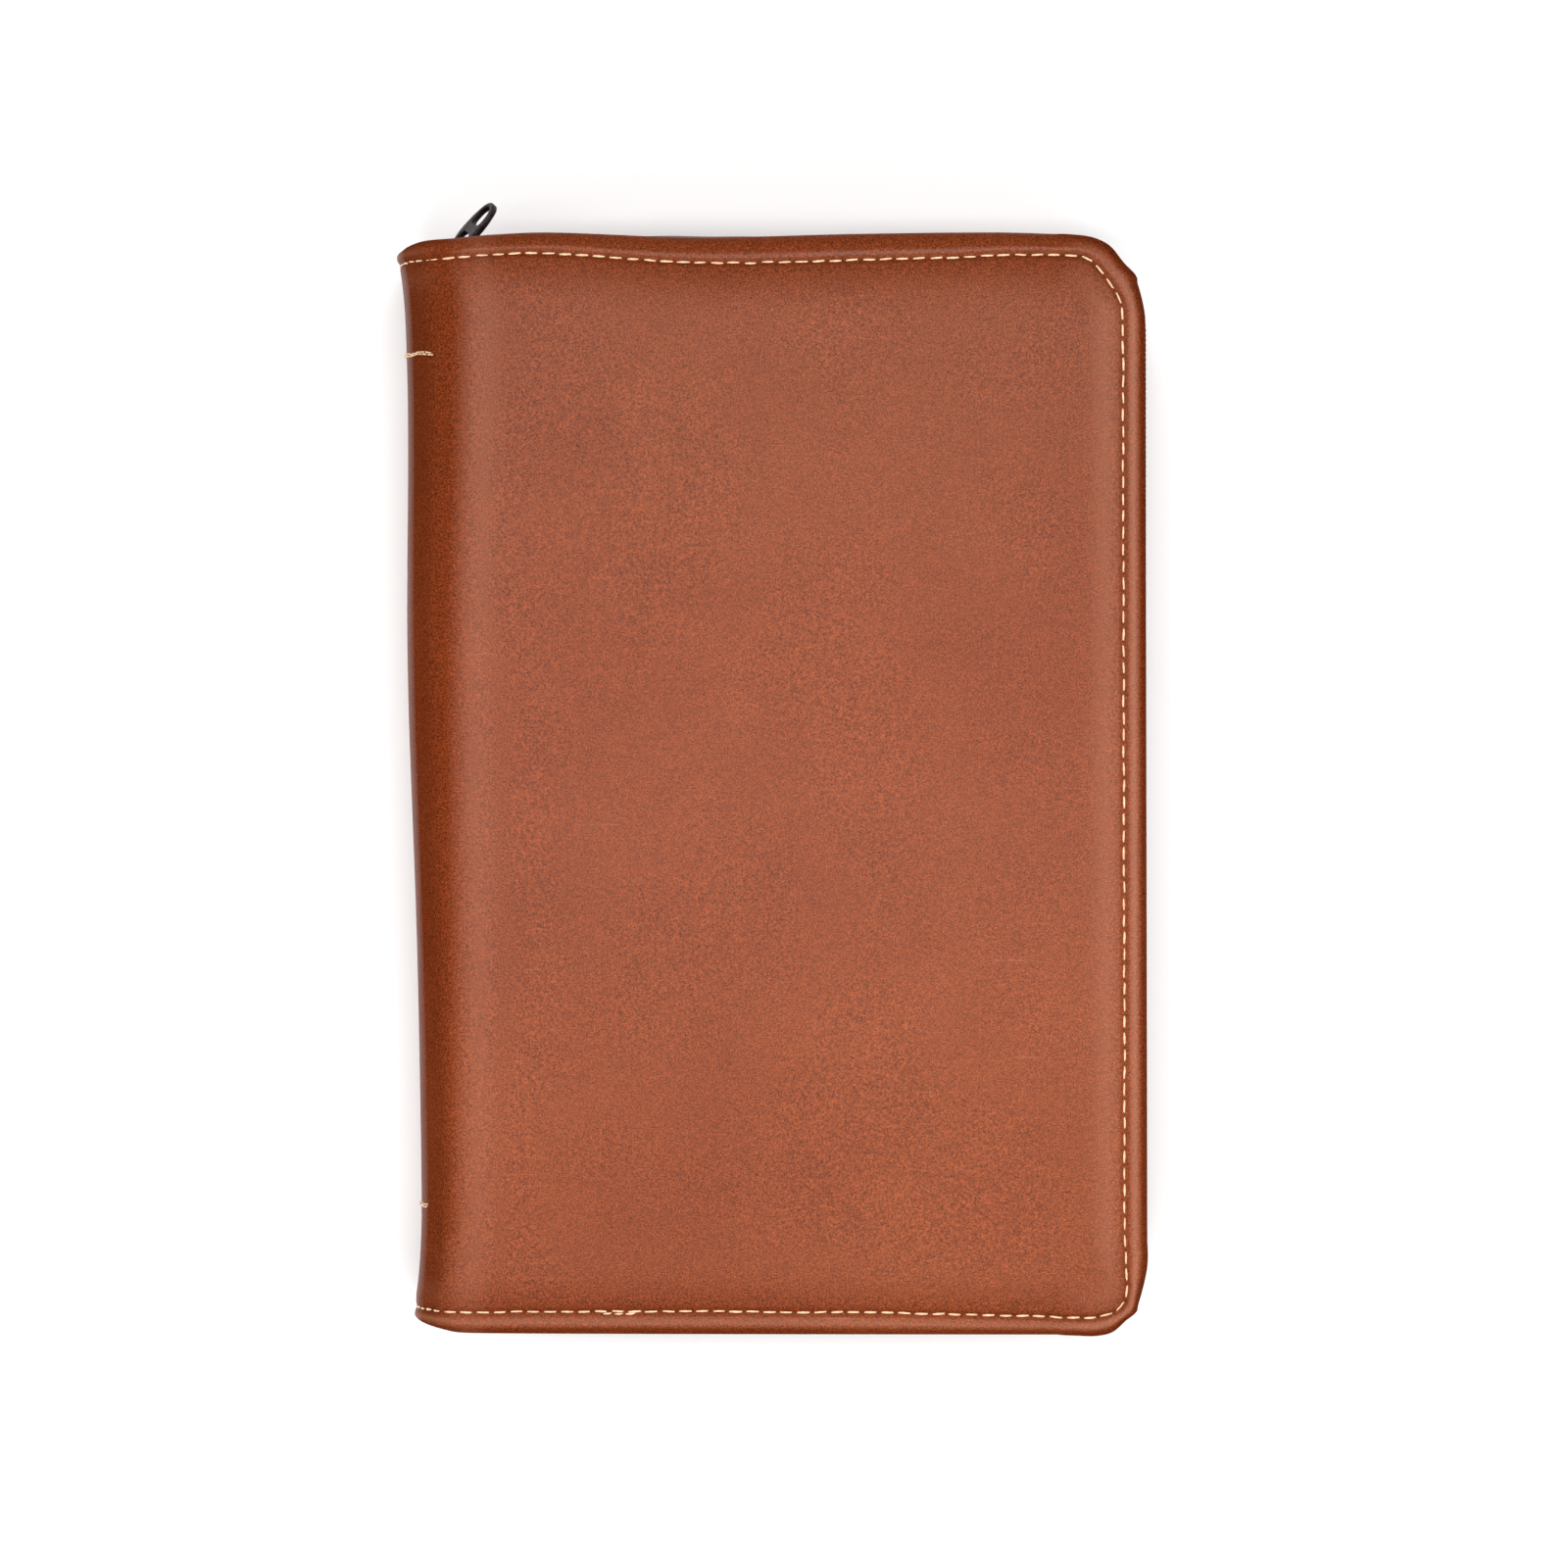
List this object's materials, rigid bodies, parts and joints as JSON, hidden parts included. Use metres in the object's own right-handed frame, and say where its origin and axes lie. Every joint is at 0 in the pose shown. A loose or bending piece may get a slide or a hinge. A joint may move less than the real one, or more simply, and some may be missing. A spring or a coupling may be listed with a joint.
{
  "type": "bible in a zip-around leather case",
  "caption": "Bible held in a closed tan leather zip-around case with a hinged spine panel, cream topstitching, a zipper slider with a small pull, and turning leaves.",
  "frame": {"origin": "centre of the back cover's outer face, on the surface that the book lies on", "axes": "+X from the spine to the fore-edge, +Y from the tail to the head, +Z from the back cover to the front cover"},
  "size_m": [0.1664, 0.2518, 0.042],
  "materials": {
    "case_leather": "waxed full grain",
    "thread": "bonded thread",
    "stiffener": "greyboard",
    "lining": "woven lining",
    "tape": "woven tape",
    "teeth": "moulded",
    "gunmetal": "black nickel",
    "book_cloth": "bonded",
    "endpaper": "matte",
    "pages": "matte",
    "mull": "open weave",
    "band": "woven"
  },
  "bodies": {
    "back_half": {"back_cover_leather": "case_leather", "back_stiffener": "stiffener", "back_lining": "lining", "back_sleeve": "lining", "back_topstitching": "thread", "zipper_tape_back": "tape", "zipper_teeth_back": "teeth", "zipper_stops_back": "gunmetal", "bible_back_board": "book_cloth", "back_pastedown": "endpaper", "text_block": "pages", "spine_mull": "mull", "head_band": "band", "tail_band": "band"},
    "spine": {"spine_leather": "case_leather", "spine_stiffener": "stiffener", "spine_lining": "lining", "head_zip_tab": "case_leather", "tail_zip_tab": "case_leather", "head_tack_stitches": "thread", "tail_tack_stitches": "thread", "bible_spine": "book_cloth"},
    "front_half": {"front_cover_leather": "case_leather", "front_stiffener": "stiffener", "front_lining": "lining", "front_sleeve": "lining", "front_topstitching": "thread", "zipper_tape_front": "tape", "zipper_teeth_front": "teeth", "zipper_stops_front": "gunmetal", "bible_front_board": "book_cloth", "front_pastedown": "endpaper"},
    "slider": {"zipper_slider": "gunmetal"},
    "pull": {"zipper_pull": "gunmetal"},
    "leaf_group_1": {"leaves_1": "pages"},
    "leaf_group_2": {"leaves_2": "pages"},
    "leaf_group_3": {"leaves_3": "pages"},
    "leaf_group_4": {"leaves_4": "pages"}
  },
  "joints": [
    {"name": "back_fold", "type": "hinge", "parent": "back_half", "child": "spine", "pos_m": [-0.081, 0, 0.01], "axis": [0, -1, 0], "range_deg": [0, 90]},
    {"name": "front_fold", "type": "hinge", "parent": "spine", "child": "front_half", "pos_m": [-0.081, 0, 0.032], "axis": [0, -1, 0], "range_deg": [0, 90]},
    {"name": "slider_run", "type": "slide", "parent": "back_half", "child": "slider", "axis": [1, 0, 0], "range_m": [0, 0.13], "deforming": ["zipper_teeth_back", "zipper_teeth_front"]},
    {"name": "pull_swing", "type": "hinge", "parent": "slider", "child": "pull", "pos_m": [-0.071, 0.12015, 0.021], "axis": [0.2542, -0.2289, 0.9397], "range_deg": [-15, 90]},
    {"name": "leaf_turn_1", "type": "hinge", "parent": "back_half", "child": "leaf_group_1", "pos_m": [-0.07265, 0, 0.02795], "axis": [0, -1, 0], "range_deg": [0, 171]},
    {"name": "leaf_turn_2", "type": "hinge", "parent": "back_half", "child": "leaf_group_2", "pos_m": [-0.07265, 0, 0.02795], "axis": [0, -1, 0], "range_deg": [0, 179.1]},
    {"name": "leaf_turn_3", "type": "hinge", "parent": "back_half", "child": "leaf_group_3", "pos_m": [-0.07265, 0, 0.02795], "axis": [0, -1, 0], "range_deg": [0, 182.7]},
    {"name": "leaf_turn_4", "type": "hinge", "parent": "back_half", "child": "leaf_group_4", "pos_m": [-0.07265, 0, 0.02795], "axis": [0, -1, 0], "range_deg": [0, 185.4]}
  ],
  "couplings": [
    {"joint": "front_fold", "follows": "back_fold", "ratio": 1},
    {"joint": "leaf_turn_1", "follows": "back_fold", "ratio": 1.9},
    {"joint": "leaf_turn_2", "follows": "back_fold", "ratio": 1.99},
    {"joint": "leaf_turn_3", "follows": "back_fold", "ratio": 2.03},
    {"joint": "leaf_turn_4", "follows": "back_fold", "ratio": 2.06}
  ]
}
